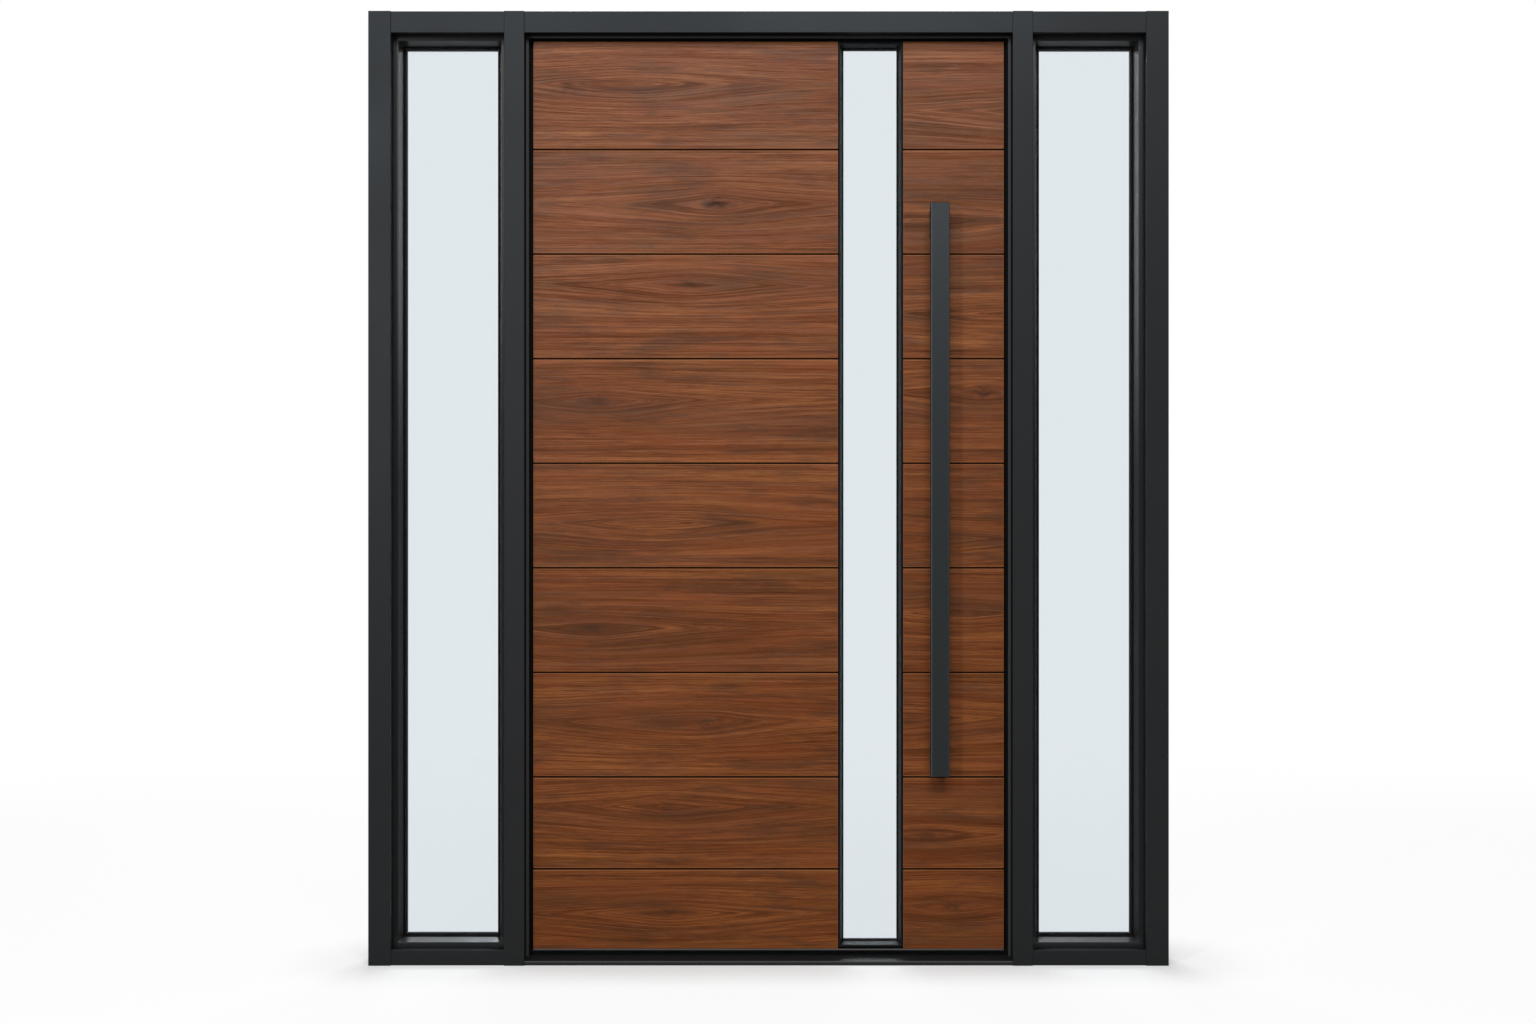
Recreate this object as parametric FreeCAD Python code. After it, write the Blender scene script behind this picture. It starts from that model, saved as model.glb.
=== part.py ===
import FreeCAD, Part
import math
import os

from FreeCAD import Vector

# An entrance door between two fixed sidelights, in millimetres.
# +X is to the right and -Y is outdoors. The origin is in the middle of the
# underside, halfway through the frame's depth.

# Outside of the frame
WIDTH = 2134.0
HEIGHT = 2545.0
DEPTH = 140.0

# Faces of the frame's members
JAMB_FACE = 60.0
MULLION_FACE = 54.0
HEAD_FACE = 57.0
SILL_FACE = 41.0
DOOR_OPENING = 1302.0
RAIL_SETBACK = 4.0
PROFILE_WALL = 2.5
EDGE_RADIUS = 1.6

# Door stop and the rebate behind it
STOP_SETBACK = 45.0
STOP_THICKNESS = 12.0
STOP_SIDE_LEG = 7.4
STOP_HEAD_LEG = 6.0
REBATE_SIDE = 10.0
REBATE_HEAD = 8.0

# Plastic strips that join the outer and the inner half of each profile
BREAK_DEPTH = 20.0
BREAK_STRIP = 2.5
BREAK_RECESS = 2.0

# Threshold
THRESHOLD_NOSE = 11.0
THRESHOLD_HEIGHT = 18.0
THRESHOLD_RAMP = 52.0
THRESHOLD_WALL = 3.0
THRESHOLD_CHAMBERS = 3

# Sidelight glazing
BEAD_FLAT = 13.0
BEAD_REACH = 19.5
BEAD_DEPTH = 40.0
GASKET_DEPTH = 5.0
GASKET_LIP = 4.3
GASKET_WIDTH = 7.0
INSIDE_GASKET_DEPTH = 3.0
PANE = 6.0
CAVITY = 16.0
EDGE_SEAL_REACH = 28.0
GLASS_EDGE_GAP = 5.0
SPACER_INSET = 1.0
MITRE_GAP = 0.15
BLOCK_LENGTH = 100.0
BLOCK_SHARES = (0.25, 0.75)

# Door leaf
LEAF_GAP = 6.0
LEAF_FLOOR_GAP = 10.0
STILE_FACE = 60.0
TOP_RAIL = 16.0
BOTTOM_RAIL = 11.0
LEAF_WALL = 2.0
LEAF_BREAK_DEPTH = 12.0
LOCK_BEVEL = 3.5

# Walnut boards
BOARD_THICKNESS = 10.0
BOARD_SIDE_MARGIN = 21.7
BOARD_TOP_MARGIN = 13.8
BOARD_BOTTOM_MARGIN = 4.9
TOP_BOARD = 290.7
BOARD_PITCH = 281.65
LOWER_BOARD = 247.7
BOARD_CHAMFER = 1.2
BOARD_JOINT = 4.2
TONGUE_LENGTH = 5.0
TONGUE_THICKNESS = 2.6
TONGUE_BACK = 2.0
TONGUE_PLAY = 0.3
TRIM_JOINT = 0.4
TRIM_THICKNESS = 3.0

# Glass strip in the leaf
VISION_CENTRE = 275.0
VISION_WIDTH = 172.0
VISION_POST = 24.0
VISION_RIM = 4.5
VISION_REACH = 9.5
VISION_BEAD_DEPTH = 23.0
VISION_LIP = 2.5
VISION_SEAL_REACH = 14.2
VISION_CAVITY = 12.0
VISION_JOINT = 2.0

# Pull bars, one on each face
PULL_CENTRE = 456.7
PULL_BOTTOM = 505.0
PULL_LENGTH = 1528.0
PULL_WIDTH = 50.0
PULL_THICKNESS = 25.0
PULL_CLEARANCE = 50.0
PULL_RADIUS = 2.5
PULL_END_CHAMFER = 0.8
POST_HEIGHT = 75.0
POST_WIDTH = 46.0
POST_INSET = 8.5
POST_RADIUS = 2.0

# Hinges, on the inside at the left
HINGE_COUNT = 4
HINGE_INSET = 230.0
HINGE_HEIGHT = 120.0
HINGE_MIDDLE = 56.0
HINGE_PLAY = 0.6
HINGE_PLATE = 4.0
HINGE_ARM = 6.0
HINGE_WING = 42.0
HINGE_EDGE_INSET = 1.0
HINGE_BOARD_GAP = 1.5
KNUCKLE_RADIUS = 10.0
KNUCKLE_CLEARANCE = 1.5
KNUCKLE_CHAMFER = 1.5
PIN_RADIUS = 5.0
PIN_PLAY = 0.1
AXIS_BEYOND_LEAF = 2.0
AXIS_BEYOND_FACE = 12.0

# Lock edge
LOCK_CENTRE = 1120.0
LOCK_LENGTH = 240.0
LOCK_WIDTH = 16.0
LOCK_THICKNESS = 3.0
LOCK_PLAY = 0.1
BOLT_OFFSETS = (55.0, -55.0)
BOLT_HEIGHT = 32.0
BOLT_WIDTH = 9.0
BOLT_LENGTH = 18.0
BOLT_PLAY = 0.3
KEEPER_PLAY = 1.5

# Seals between the leaf and the frame
SEAL_DEPTH = 8.0
SEAL_WIDTH = 7.0
SEAL_SIDE_OVERHANG = 3.0
SEAL_HEAD_INSET = 1.0
SEAL_FLAT = 1.0
SEAL_CLEARANCE = 5.0
SWEEP_HEIGHT = 5.0
SWEEP_DEPTH = 22.0
SWEEP_BASE = 1.6
FIN = 2.0

# Planes that the pieces share
OUTER = -DEPTH / 2
INNER = DEPTH / 2
RAIL_FRONT = OUTER + RAIL_SETBACK
STOP_FRONT = OUTER + STOP_SETBACK
STOP_BACK = STOP_FRONT + STOP_THICKNESS
INNER_HALF = STOP_BACK + BREAK_DEPTH
DOOR_EDGE = DOOR_OPENING / 2
MULLION_EDGE = DOOR_EDGE + MULLION_FACE
JAMB_EDGE = WIDTH / 2 - JAMB_FACE
HEAD_BOTTOM = HEIGHT - HEAD_FACE
REBATE_EDGE = DOOR_EDGE + REBATE_SIDE
REBATE_TOP = HEAD_BOTTOM + REBATE_HEAD

LEAF_EDGE = REBATE_EDGE - LEAF_GAP
LEAF_TOP = REBATE_TOP - LEAF_GAP
LEAF_BOTTOM = THRESHOLD_HEIGHT + LEAF_FLOOR_GAP
LEAF_BACK = INNER - BOARD_THICKNESS
LEAF_FRONT = STOP_BACK + SEAL_DEPTH + SEAL_CLEARANCE
LEAF_MIDDLE = (LEAF_FRONT + LEAF_BACK) / 2
STILE_EDGE = LEAF_EDGE - STILE_FACE
BOARD_FRONT = LEAF_FRONT - BOARD_THICKNESS
BOARD_EDGE = LEAF_EDGE - BOARD_SIDE_MARGIN
BOARD_TOP = LEAF_TOP - BOARD_TOP_MARGIN
BOARD_BOTTOM = LEAF_BOTTOM + BOARD_BOTTOM_MARGIN
VISION_LEFT = VISION_CENTRE - VISION_WIDTH / 2
VISION_RIGHT = VISION_CENTRE + VISION_WIDTH / 2
VISION_LOW = LEAF_BOTTOM + BOTTOM_RAIL
VISION_HIGH = LEAF_TOP - TOP_RAIL
AXIS_X = -LEAF_EDGE - AXIS_BEYOND_LEAF
AXIS_Y = INNER + AXIS_BEYOND_FACE


def section(corners, place):
    """Closed wire through (a, b) or (a, b, radius) corners, each radius rounding its corner."""
    edges = []
    ends = []
    count = len(corners)
    for i, corner in enumerate(corners):
        here = FreeCAD.Base.Vector2d(corner[0], corner[1])
        before = FreeCAD.Base.Vector2d(*corners[i - 1][:2]) - here
        after = FreeCAD.Base.Vector2d(*corners[(i + 1) % count][:2]) - here
        before.normalize()
        after.normalize()
        radius = corner[2] if len(corner) > 2 else 0.0
        if radius == 0.0:
            ends.append((here, here))
            continue
        half = before.getAngle(after) / 2
        run = radius / math.tan(half)
        bisector = before + after
        bisector.normalize()
        start, end = here + before * run, here + after * run
        middle = here + bisector * (radius / math.sin(half) - radius)
        edges.append(Part.Arc(*(place(p.x, p.y) for p in (start, middle, end))).toShape())
        ends.append((start, end))
    for i in range(count):
        start, end = ends[i - 1][1], ends[i][0]
        edges.append(Part.makeLine(place(start.x, start.y), place(end.x, end.y)))
    return Part.Wire(Part.sortEdges(edges)[0])


def upright(corners, low, high, void=None):
    """Bar along Z with an (x, y) section, hollow where a void is given."""
    run = Vector(0, 0, high - low)
    bar = Part.Face(section(corners, lambda x, y: Vector(x, y, low))).extrude(run)
    return bar.cut(upright(void, low, high)).Solids[0] if void else bar


def level(corners, left, right, void=None):
    """Bar along X with a (y, z) section, hollow where a void is given."""
    run = Vector(right - left, 0, 0)
    bar = Part.Face(section(corners, lambda y, z: Vector(left, y, z))).extrude(run)
    return bar.cut(level(void, left, right)).Solids[0] if void else bar


def block(left, right, front, back, low, high):
    return Part.makeBox(right - left, back - front, high - low, Vector(left, front, low))


def rectangle(a0, a1, b0, b1, margin=0.0):
    """Four corners, moved inwards by the margin."""
    return [(a0 + margin, b0 + margin), (a1 - margin, b0 + margin),
            (a1 - margin, b1 - margin), (a0 + margin, b1 - margin)]


def to_left(shape):
    """The same piece on the other side of the middle of the unit."""
    return shape.mirror(Vector(0, 0, 0), Vector(1, 0, 0))


def to_inside(shape):
    """The same piece on the other face of the leaf."""
    return shape.mirror(Vector(0, LEAF_MIDDLE, 0), Vector(0, 1, 0))


def mitred_ring(corners, left, right, low, high):
    """Four bars round an opening: (u, y) section, u inwards from the opening's edge."""
    reach = max(corner[0] for corner in corners)
    front = min(corner[1] for corner in corners)
    back = max(corner[1] for corner in corners)
    side = upright([(left + c[0], *c[1:]) for c in corners], low, high)
    foot = level([(c[1], low + c[0], *c[2:]) for c in corners], left, right)
    ends = (low + MITRE_GAP, high - MITRE_GAP)
    side_plan = [(left, ends[0]), (left + reach, ends[0] + reach),
                 (left + reach, ends[1] - reach), (left, ends[1])]
    ends = (left + MITRE_GAP, right - MITRE_GAP)
    foot_plan = [(ends[0], low), (ends[0] + reach, low + reach),
                 (ends[1] - reach, low + reach), (ends[1], low)]
    bars = []
    for bar, plan in ((side, side_plan), (foot, foot_plan)):
        mitre = Part.Face(section(plan, lambda x, z: Vector(x, front, z)))
        bars.append(bar.common(mitre.extrude(Vector(0, back - front, 0))).Solids[0])
    side, foot = bars
    far_side = side.mirror(Vector((left + right) / 2, 0, 0), Vector(1, 0, 0))
    head = foot.mirror(Vector(0, 0, (low + high) / 2), Vector(0, 0, 1))
    return [side, far_side, foot, head]


def write(name, solids):
    """One file for a piece, or for like pieces that belong together."""
    shape = solids[0] if len(solids) == 1 else Part.makeCompound(solids)
    shape.exportStep("parts/" + name + ".step")


def frame_uprights():
    """Jambs and mullions: an outer and an inner hollow half each, full height."""
    jamb_out = upright(
        [(JAMB_EDGE, OUTER, EDGE_RADIUS), (WIDTH / 2, OUTER, EDGE_RADIUS),
         (WIDTH / 2, STOP_BACK), (JAMB_EDGE, STOP_BACK)], 0, HEIGHT,
        rectangle(JAMB_EDGE, WIDTH / 2, OUTER, STOP_BACK, PROFILE_WALL))
    jamb_in = upright(
        [(JAMB_EDGE, INNER_HALF), (WIDTH / 2, INNER_HALF),
         (WIDTH / 2, INNER, EDGE_RADIUS), (JAMB_EDGE, INNER, EDGE_RADIUS)], 0, HEIGHT,
        rectangle(JAMB_EDGE, WIDTH / 2, INNER_HALF, INNER, PROFILE_WALL))
    mullion_out = upright(mullion_outline(), 0, HEIGHT,
                          rectangle(DOOR_EDGE, MULLION_EDGE, OUTER, STOP_BACK, PROFILE_WALL))
    mullion_in = upright(
        [(REBATE_EDGE, INNER_HALF), (MULLION_EDGE, INNER_HALF),
         (MULLION_EDGE, INNER, EDGE_RADIUS), (REBATE_EDGE, INNER, EDGE_RADIUS)], 0, HEIGHT,
        rectangle(REBATE_EDGE, MULLION_EDGE, INNER_HALF, INNER, PROFILE_WALL))
    keeper_slot = block(REBATE_EDGE, REBATE_EDGE + LOCK_THICKNESS, *lock_depths(),
                        *lock_heights())
    write("jamb_right", [jamb_out, jamb_in])
    write("jamb_left", [to_left(jamb_out), to_left(jamb_in)])
    write("mullion_right", [mullion_out, mullion_in.cut(keeper_slot).Solids[0]])
    write("mullion_left", [to_left(mullion_out), to_left(mullion_in)])


def mullion_outline():
    """Outer half of the right mullion, with the stop that the leaf closes against."""
    stop_edge = DOOR_EDGE - STOP_SIDE_LEG
    return [(DOOR_EDGE, OUTER, EDGE_RADIUS), (MULLION_EDGE, OUTER, EDGE_RADIUS),
            (MULLION_EDGE, STOP_BACK), (stop_edge, STOP_BACK),
            (stop_edge, STOP_FRONT, EDGE_RADIUS), (DOOR_EDGE, STOP_FRONT)]


def notch_round_mullions(bar):
    """Cuts the ends of a bar between the mullions to fit their stops."""
    mullion = upright(mullion_outline(), 0, HEIGHT)
    return bar.cut(mullion).cut(to_left(mullion)).Solids[0]


def frame_rails():
    """Heads and sills between the uprights, set back a little from their faces."""
    for name, low, high in (("head", HEAD_BOTTOM, HEIGHT), ("sill", 0, SILL_FACE)):
        outer_half = level(
            [(RAIL_FRONT, low, EDGE_RADIUS), (STOP_BACK, low), (STOP_BACK, high),
             (RAIL_FRONT, high, EDGE_RADIUS)], MULLION_EDGE, JAMB_EDGE,
            rectangle(RAIL_FRONT, STOP_BACK, low, high, PROFILE_WALL))
        inner_half = level(
            [(INNER_HALF, low), (INNER, low, EDGE_RADIUS), (INNER, high, EDGE_RADIUS),
             (INNER_HALF, high)], MULLION_EDGE, JAMB_EDGE,
            rectangle(INNER_HALF, INNER, low, high, PROFILE_WALL))
        write(name + "_right", [outer_half, inner_half])
        write(name + "_left", [to_left(outer_half), to_left(inner_half)])


def door_head():
    """Head over the leaf, with its stop."""
    stop_low = HEAD_BOTTOM - STOP_HEAD_LEG
    outer_half = level(
        [(RAIL_FRONT, HEAD_BOTTOM, EDGE_RADIUS), (STOP_FRONT, HEAD_BOTTOM),
         (STOP_FRONT, stop_low, EDGE_RADIUS), (STOP_BACK, stop_low),
         (STOP_BACK, HEIGHT), (RAIL_FRONT, HEIGHT, EDGE_RADIUS)], -DOOR_EDGE, DOOR_EDGE,
        rectangle(RAIL_FRONT, STOP_BACK, HEAD_BOTTOM, HEIGHT, PROFILE_WALL))
    inner_half = level(
        [(INNER_HALF, REBATE_TOP), (INNER, REBATE_TOP, EDGE_RADIUS),
         (INNER, HEIGHT, EDGE_RADIUS), (INNER_HALF, HEIGHT)], -REBATE_EDGE, REBATE_EDGE,
        rectangle(INNER_HALF, INNER, REBATE_TOP, HEIGHT, PROFILE_WALL))
    write("head_door", [notch_round_mullions(outer_half), inner_half])


def threshold():
    """Low sill under the leaf, ramped on the outside, with webs between its chambers."""
    ramp_end = RAIL_FRONT + THRESHOLD_RAMP
    wall = THRESHOLD_WALL
    ends = (-REBATE_EDGE, REBATE_EDGE)
    bar = level(
        [(RAIL_FRONT, 0), (RAIL_FRONT, THRESHOLD_NOSE, EDGE_RADIUS),
         (ramp_end, THRESHOLD_HEIGHT), (INNER, THRESHOLD_HEIGHT, EDGE_RADIUS), (INNER, 0)], *ends)
    chambers = level(
        [(RAIL_FRONT + wall, wall), (RAIL_FRONT + wall, THRESHOLD_NOSE - wall),
         (ramp_end, THRESHOLD_HEIGHT - wall), (INNER - wall, THRESHOLD_HEIGHT - wall),
         (INNER - wall, wall)], *ends)
    for number in range(1, THRESHOLD_CHAMBERS):
        middle = RAIL_FRONT + (INNER - RAIL_FRONT) * number / THRESHOLD_CHAMBERS
        web = block(*ends, middle - wall / 2, middle + wall / 2, 0, THRESHOLD_HEIGHT)
        chambers = chambers.cut(web)
    write("threshold", [notch_round_mullions(bar.cut(chambers))])


def break_pair(low_edge, high_edge):
    """The two strips' places across a member: just inside each of its edges."""
    return ((low_edge + BREAK_RECESS, low_edge + BREAK_RECESS + BREAK_STRIP),
            (high_edge - BREAK_RECESS - BREAK_STRIP, high_edge - BREAK_RECESS))


def thermal_breaks():
    """Strips that hold the outer and inner halves of the frame's members together."""
    strips = []
    for edges in ((JAMB_EDGE, WIDTH / 2), (REBATE_EDGE, MULLION_EDGE)):
        for low, high in break_pair(*edges):
            strip = block(low, high, STOP_BACK, INNER_HALF, 0, HEIGHT)
            strips += [strip, to_left(strip)]
    for edges in ((HEAD_BOTTOM, HEIGHT), (0, SILL_FACE)):
        for low, high in break_pair(*edges):
            strip = block(MULLION_EDGE, JAMB_EDGE, STOP_BACK, INNER_HALF, low, high)
            strips += [strip, to_left(strip)]
    for low, high in break_pair(REBATE_TOP, HEIGHT):
        strips.append(block(-REBATE_EDGE, REBATE_EDGE, STOP_BACK, INNER_HALF, low, high))
    write("thermal_breaks", strips)


def sidelights():
    """Double glazing in each sidelight, between a sloped outside bead and a square inside one."""
    opening = (MULLION_EDGE, JAMB_EDGE, SILL_FACE, HEAD_BOTTOM)
    bead_back = STOP_FRONT + BEAD_DEPTH
    glass_front = bead_back + GASKET_DEPTH
    cavity_front = glass_front + PANE
    cavity_back = cavity_front + CAVITY
    glass_back = cavity_back + PANE
    inside_bead = glass_back + INSIDE_GASKET_DEPTH
    gasket_tip = BEAD_REACH + GASKET_LIP
    outside_beads = mitred_ring(
        [(0, STOP_FRONT), (BEAD_FLAT, STOP_FRONT, EDGE_RADIUS), (BEAD_REACH, bead_back),
         (0, bead_back)], *opening)
    inside_beads = mitred_ring(
        [(0, inside_bead), (BEAD_REACH, inside_bead), (BEAD_REACH, INNER, EDGE_RADIUS),
         (0, INNER)], *opening)
    gaskets = mitred_ring(
        [(gasket_tip - GASKET_WIDTH, bead_back), (BEAD_REACH, bead_back),
         (gasket_tip, glass_front), (gasket_tip - GASKET_WIDTH, glass_front)], *opening)
    gaskets += mitred_ring(
        rectangle(gasket_tip - GASKET_WIDTH, gasket_tip, glass_back, inside_bead), *opening)
    edge_seal = mitred_ring(
        rectangle(GLASS_EDGE_GAP + SPACER_INSET, EDGE_SEAL_REACH, cavity_front, cavity_back),
        *opening)
    left, right, low, high = opening
    panes = [block(left + GLASS_EDGE_GAP, right - GLASS_EDGE_GAP, front, front + PANE,
                   low + GLASS_EDGE_GAP, high - GLASS_EDGE_GAP)
             for front in (glass_front, cavity_back)]
    blocks = []
    for share in BLOCK_SHARES:
        middle = left + (right - left) * share
        blocks.append(block(middle - BLOCK_LENGTH / 2, middle + BLOCK_LENGTH / 2,
                            glass_front, glass_back, low, low + GLASS_EDGE_GAP))
    write("outside_beads_right", outside_beads)
    write("outside_beads_left", [to_left(bead) for bead in outside_beads])
    write("inside_beads_right", inside_beads)
    write("inside_beads_left", [to_left(bead) for bead in inside_beads])
    write("glass_right", panes)
    write("glass_left", [to_left(pane) for pane in panes])
    write("glazing_gaskets", gaskets + [to_left(bar) for bar in gaskets])
    write("glass_spacers", edge_seal + [to_left(bar) for bar in edge_seal])
    write("setting_blocks", blocks + [to_left(piece) for piece in blocks])


def door_seals():
    """Soft seals on the back of the stops, at both sides and over the leaf."""
    seal_front, seal_back = STOP_BACK, STOP_BACK + SEAL_DEPTH
    inner_edge = DOOR_EDGE - STOP_SIDE_LEG - SEAL_SIDE_OVERHANG
    low_edge = HEAD_BOTTOM - STOP_HEAD_LEG + SEAL_HEAD_INSET
    bulb = (SEAL_WIDTH - SEAL_FLAT) / 2
    side = upright(
        [(inner_edge, seal_front), (inner_edge + SEAL_WIDTH, seal_front),
         (inner_edge + SEAL_WIDTH, seal_back, bulb), (inner_edge, seal_back, bulb)],
        THRESHOLD_HEIGHT, low_edge + SEAL_WIDTH)
    head = level(
        [(seal_front, low_edge), (seal_back, low_edge, bulb),
         (seal_back, low_edge + SEAL_WIDTH, bulb), (seal_front, low_edge + SEAL_WIDTH)],
        -inner_edge + MITRE_GAP, inner_edge - MITRE_GAP)
    write("door_seals", [side, to_left(side), head])


def lock_edge(y):
    """X of the leaf's bevelled lock edge at a depth."""
    share = (LEAF_BACK - y) / (LEAF_BACK - LEAF_FRONT)
    return LEAF_EDGE - LOCK_BEVEL * share


def lock_depths():
    """Front and back of the lock's faceplate and keeper, on the inner half."""
    middle = (LEAF_MIDDLE + LEAF_BREAK_DEPTH / 2 + LEAF_BACK) / 2
    return middle - LOCK_WIDTH / 2, middle + LOCK_WIDTH / 2


def lock_heights():
    return LOCK_CENTRE - LOCK_LENGTH / 2, LOCK_CENTRE + LOCK_LENGTH / 2


def lock_slab(play):
    """A slab that follows the lock edge's bevel, smaller all round by the play."""
    front, back = lock_depths()
    low, high = lock_heights()
    front, back, low, high = front + play, back - play, low + play, high - play
    depth = LOCK_THICKNESS - play
    return upright([(lock_edge(front), front), (lock_edge(back), back),
                    (lock_edge(back) - depth, back), (lock_edge(front) - depth, front)],
                   low, high)


def bolt_bars(play):
    """The two bolts drawn back flush with the lock edge, larger all round by the play."""
    middle = sum(lock_depths()) / 2
    front, back = middle - BOLT_WIDTH / 2 - play, middle + BOLT_WIDTH / 2 + play
    plan = [(lock_edge(front), front), (lock_edge(back), back),
            (LEAF_EDGE - BOLT_LENGTH, back), (LEAF_EDGE - BOLT_LENGTH, front)]
    half = BOLT_HEIGHT / 2 + play
    return [upright(plan, LOCK_CENTRE + offset - half, LOCK_CENTRE + offset + half)
            for offset in BOLT_OFFSETS]


def lock_pieces():
    """Faceplate and bolts in the leaf's edge, and the slotted keeper facing them."""
    front, back = lock_depths()
    low, high = lock_heights()
    play = LOCK_PLAY
    keeper = block(REBATE_EDGE, REBATE_EDGE + LOCK_THICKNESS - play, front + play, back - play,
                   low + play, high - play)
    middle = (front + back) / 2
    half_width, half_height = BOLT_WIDTH / 2 + KEEPER_PLAY, BOLT_HEIGHT / 2 + KEEPER_PLAY
    for offset in BOLT_OFFSETS:
        height = LOCK_CENTRE + offset
        keeper = keeper.cut(block(REBATE_EDGE, REBATE_EDGE + LOCK_THICKNESS,
                                  middle - half_width, middle + half_width,
                                  height - half_height, height + half_height))
    faceplate = lock_slab(play)
    for slot in bolt_bars(BOLT_PLAY):
        faceplate = faceplate.cut(slot)
    write("lock_keeper", keeper.Solids)
    write("lock_faceplate", faceplate.Solids + bolt_bars(0.0))


def leaf_frame():
    """Slim aluminium edge frame of the leaf, in an outer and an inner hollow half."""
    break_front = LEAF_MIDDLE - LEAF_BREAK_DEPTH / 2
    break_back = LEAF_MIDDLE + LEAF_BREAK_DEPTH / 2
    halves = ((LEAF_FRONT, break_front), (break_back, LEAF_BACK))
    lock_stile, hinge_stile, top_rail, bottom_rail = [], [], [], []
    for front, back in halves:
        void = rectangle(STILE_EDGE, LEAF_EDGE, front, back, LEAF_WALL)
        hinge_stile.append(to_left(upright(rectangle(STILE_EDGE, LEAF_EDGE, front, back),
                                           LEAF_BOTTOM, LEAF_TOP, void)))
        lock_void = [(STILE_EDGE + LEAF_WALL, front + LEAF_WALL),
                     (lock_edge(front + LEAF_WALL) - LEAF_WALL, front + LEAF_WALL),
                     (lock_edge(back - LEAF_WALL) - LEAF_WALL, back - LEAF_WALL),
                     (STILE_EDGE + LEAF_WALL, back - LEAF_WALL)]
        lock_stile.append(upright([(STILE_EDGE, front), (lock_edge(front), front),
                                   (lock_edge(back), back), (STILE_EDGE, back)],
                                  LEAF_BOTTOM, LEAF_TOP, lock_void))
        for rail, low, high in ((top_rail, VISION_HIGH, LEAF_TOP),
                                (bottom_rail, LEAF_BOTTOM, VISION_LOW)):
            rail.append(level(rectangle(front, back, low, high), -STILE_EDGE, STILE_EDGE,
                              rectangle(front, back, low, high, LEAF_WALL)))
    lock_stile[1] = lock_stile[1].cut(lock_slab(0.0)).Solids[0]
    write("leaf_stile_lock", lock_stile)
    write("leaf_stile_hinge", hinge_stile)
    write("leaf_rail_top", top_rail)
    write("leaf_rail_bottom", bottom_rail)

    strips = []
    for low, high in break_pair(STILE_EDGE, LEAF_EDGE - LOCK_BEVEL):
        strip = block(low, high, break_front, break_back, LEAF_BOTTOM, LEAF_TOP)
        strips += [strip, to_left(strip)]
    for edges in ((VISION_HIGH, LEAF_TOP), (LEAF_BOTTOM, VISION_LOW)):
        for low, high in break_pair(*edges):
            strips.append(block(-STILE_EDGE, STILE_EDGE, break_front, break_back, low, high))
    write("leaf_thermal_breaks", strips)


def leaf_core():
    """Insulated panels between the edge frame and the two posts beside the glass strip."""
    left_post = VISION_LEFT - VISION_POST
    right_post = VISION_RIGHT + VISION_POST
    heights = (VISION_LOW, VISION_HIGH)
    depths = (LEAF_FRONT, LEAF_BACK)
    write("core_wide", [block(-STILE_EDGE, left_post, *depths, *heights)])
    write("core_narrow", [block(right_post, STILE_EDGE, *depths, *heights)])
    for name, left, right in (("vision_post_left", left_post, VISION_LEFT),
                              ("vision_post_right", VISION_RIGHT, right_post)):
        write(name, [upright(rectangle(left, right, *depths), *heights,
                             rectangle(left, right, *depths, LEAF_WALL))])


def board_section(low, high, is_top, is_bottom):
    """(y, z) section of one board: bevelled face, tongue on top and groove underneath."""
    face, back = BOARD_FRONT, LEAF_FRONT
    tongue_back = LEAF_FRONT - TONGUE_BACK
    tongue_front = tongue_back - TONGUE_THICKNESS
    corners = [(face, high - BOARD_CHAMFER), (face, low + BOARD_CHAMFER),
               (face + BOARD_CHAMFER, low)]
    if not is_bottom:
        depth = TONGUE_LENGTH + TONGUE_PLAY
        corners += [(tongue_front - TONGUE_PLAY, low), (tongue_front - TONGUE_PLAY, low + depth),
                    (tongue_back + TONGUE_PLAY, low + depth), (tongue_back + TONGUE_PLAY, low)]
    corners += [(back, low), (back, high)]
    if not is_top:
        tip = high + BOARD_JOINT + TONGUE_LENGTH
        corners += [(tongue_back, high), (tongue_back, tip), (tongue_front, tip),
                    (tongue_front, high)]
    corners.append((face + BOARD_CHAMFER, high))
    return corners


def board_joints():
    """Middles of the joints from the top: as many full boards as fit, then two lower ones."""
    joints = [BOARD_TOP - TOP_BOARD]
    while joints[-1] - BOARD_BOTTOM >= 2 * BOARD_PITCH:
        joints.append(joints[-1] - BOARD_PITCH)
    return joints + [joints[-1] - LOWER_BOARD]


def boards():
    """Tongued boards laid one above the other over both faces of the leaf."""
    joints = board_joints()
    tops = [BOARD_TOP] + [joint - BOARD_JOINT / 2 for joint in joints]
    bottoms = [joint + BOARD_JOINT / 2 for joint in joints] + [BOARD_BOTTOM]
    spans = {"wide": (-BOARD_EDGE, VISION_LEFT - VISION_JOINT),
             "narrow": (VISION_RIGHT + VISION_JOINT, BOARD_EDGE)}
    for name, (left, right) in spans.items():
        front = [level(board_section(low, high, high == tops[0], low == BOARD_BOTTOM),
                       left, right)
                 for low, high in zip(bottoms, tops)]
        write("boards_front_" + name, front)
        write("boards_back_" + name, [to_inside(board) for board in front])
    trim_top = BOARD_BOTTOM - TRIM_JOINT
    trim = block(-BOARD_EDGE, BOARD_EDGE, BOARD_FRONT, LEAF_FRONT, trim_top - TRIM_THICKNESS,
                 trim_top)
    write("board_trims", [trim, to_inside(trim)])


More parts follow.
